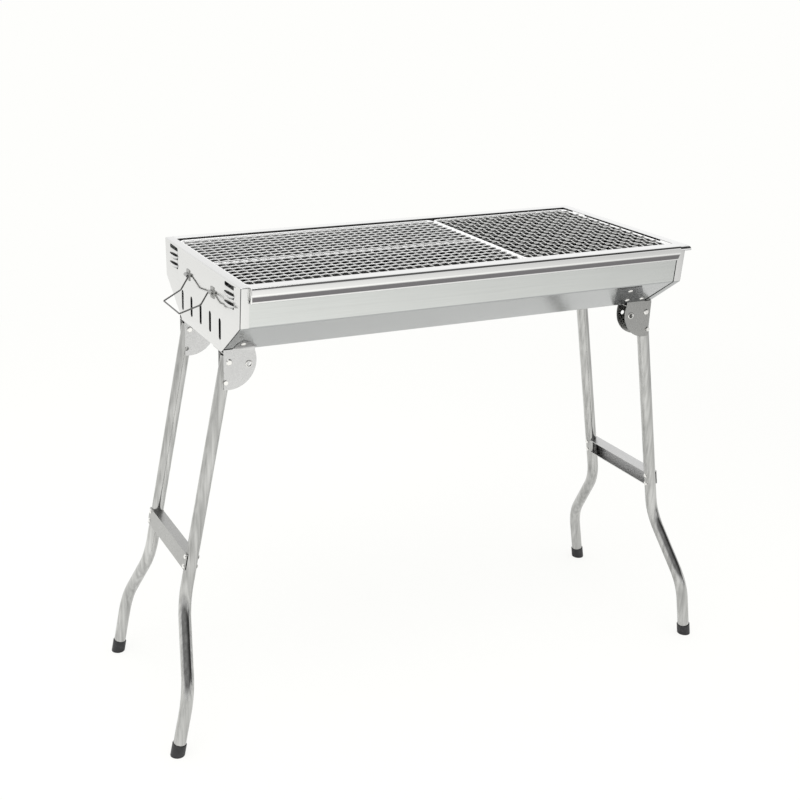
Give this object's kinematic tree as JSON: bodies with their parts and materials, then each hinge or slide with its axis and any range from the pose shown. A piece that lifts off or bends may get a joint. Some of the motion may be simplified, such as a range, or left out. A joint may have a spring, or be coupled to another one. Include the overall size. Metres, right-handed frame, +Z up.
{
  "type": "folding camp grill",
  "caption": "Folding charcoal camp grill: polished sheet trough with lift-off wire grates, charcoal basket, swinging end handles and leg pairs that fold flat under the trough.",
  "frame": {"origin": "on the ground under the middle of the trough, the centre of the bottom of the bounding box", "axes": "+X along the trough towards the end with the small grate, +Y across it towards the back, +Z up"},
  "size_m": [0.9508, 0.3376, 0.7],
  "materials": {
    "polished_sheet": "mirror-polished folded stainless sheet with fine lengthwise polish lines",
    "leg_tube_steel": "bright drawn stainless tube",
    "grate_wire": "bright stainless wire",
    "basket_steel": "plain mill-finish stainless sheet",
    "bracket_steel": "pressed stainless sheet",
    "fastener_steel": "bright rivets, pins and buttons",
    "handle_wire": "bright bent wire",
    "foot_plastic": "black moulded plastic"
  },
  "bodies": {
    "grill_body": {"trough_shell": "polished_sheet", "left_end_plate": "polished_sheet", "right_end_plate": "polished_sheet", "front_rim_rail": "polished_sheet", "back_rim_rail": "polished_sheet", "left_handle_lugs": "polished_sheet", "right_handle_lugs": "polished_sheet", "front_left_bracket": "bracket_steel", "front_left_bracket_rivets": "fastener_steel", "front_left_pivot_pin": "fastener_steel", "back_left_bracket": "bracket_steel", "back_left_bracket_rivets": "fastener_steel", "back_left_pivot_pin": "fastener_steel", "front_right_bracket": "bracket_steel", "front_right_bracket_rivets": "fastener_steel", "front_right_pivot_pin": "fastener_steel", "back_right_bracket": "bracket_steel", "back_right_bracket_rivets": "fastener_steel", "back_right_pivot_pin": "fastener_steel"},
    "basket": {"charcoal_basket": "basket_steel"},
    "large_grate": {"large_grate_frame": "grate_wire", "large_grate_long_wires": "grate_wire", "large_grate_cross_wires": "grate_wire", "large_grate_stiffener": "grate_wire"},
    "small_grate": {"small_grate_frame": "grate_wire", "small_grate_long_wires": "grate_wire", "small_grate_cross_wires": "grate_wire"},
    "left_handle_bail": {"left_handle": "handle_wire"},
    "right_handle_bail": {"right_handle": "handle_wire"},
    "left_legs": {"front_left_leg_tube": "leg_tube_steel", "back_left_leg_tube": "leg_tube_steel", "front_left_foot_cap": "foot_plastic", "back_left_foot_cap": "foot_plastic", "left_brace": "bracket_steel", "left_brace_rivets": "fastener_steel"},
    "front_left_button": {"front_left_snap_button": "fastener_steel"},
    "back_left_button": {"back_left_snap_button": "fastener_steel"},
    "right_legs": {"front_right_leg_tube": "leg_tube_steel", "back_right_leg_tube": "leg_tube_steel", "front_right_foot_cap": "foot_plastic", "back_right_foot_cap": "foot_plastic", "right_brace": "bracket_steel", "right_brace_rivets": "fastener_steel"},
    "front_right_button": {"front_right_snap_button": "fastener_steel"},
    "back_right_button": {"back_right_snap_button": "fastener_steel"}
  },
  "joints": [
    {"name": "left_legs_fold", "type": "hinge", "parent": "grill_body", "child": "left_legs", "pos_m": [-0.357, 0, 0.5765], "axis": [0, -1, 0], "range_deg": [0, 90], "deforming": ["front_left_snap_button", "back_left_snap_button"]},
    {"name": "front_left_button_press", "type": "slide", "parent": "left_legs", "child": "front_left_button", "axis": [0, 1, 0], "range_m": [0, 0.0046], "stiffness_N_per_m": 300, "springref_m": -0.005},
    {"name": "back_left_button_press", "type": "slide", "parent": "left_legs", "child": "back_left_button", "axis": [0, -1, 0], "range_m": [0, 0.0046], "stiffness_N_per_m": 300, "springref_m": -0.005},
    {"name": "right_legs_fold", "type": "hinge", "parent": "grill_body", "child": "right_legs", "pos_m": [0.357, 0, 0.5765], "axis": [0, 1, 0], "range_deg": [0, 94], "deforming": ["front_right_snap_button", "back_right_snap_button"]},
    {"name": "front_right_button_press", "type": "slide", "parent": "right_legs", "child": "front_right_button", "axis": [0, 1, 0], "range_m": [0, 0.0046], "stiffness_N_per_m": 300, "springref_m": -0.005},
    {"name": "back_right_button_press", "type": "slide", "parent": "right_legs", "child": "back_right_button", "axis": [0, -1, 0], "range_m": [0, 0.0046], "stiffness_N_per_m": 300, "springref_m": -0.005},
    {"name": "left_handle_swing", "type": "hinge", "parent": "grill_body", "child": "left_handle_bail", "pos_m": [-0.36776, 0, 0.667], "axis": [0, 1, 0], "range_deg": [0, 75]},
    {"name": "right_handle_swing", "type": "hinge", "parent": "grill_body", "child": "right_handle_bail", "pos_m": [0.36776, 0, 0.667], "axis": [0, -1, 0], "range_deg": [0, 75]},
    {"name": "basket_lift", "type": "slide", "parent": "grill_body", "child": "basket", "axis": [0, 0, 1], "range_m": [0, 0.12]},
    {"name": "large_grate_lift", "type": "slide", "parent": "basket", "child": "large_grate", "axis": [0, 0, 1], "range_m": [0, 0.1]},
    {"name": "small_grate_lift", "type": "slide", "parent": "basket", "child": "small_grate", "axis": [0, 0, 1], "range_m": [0, 0.1]}
  ]
}
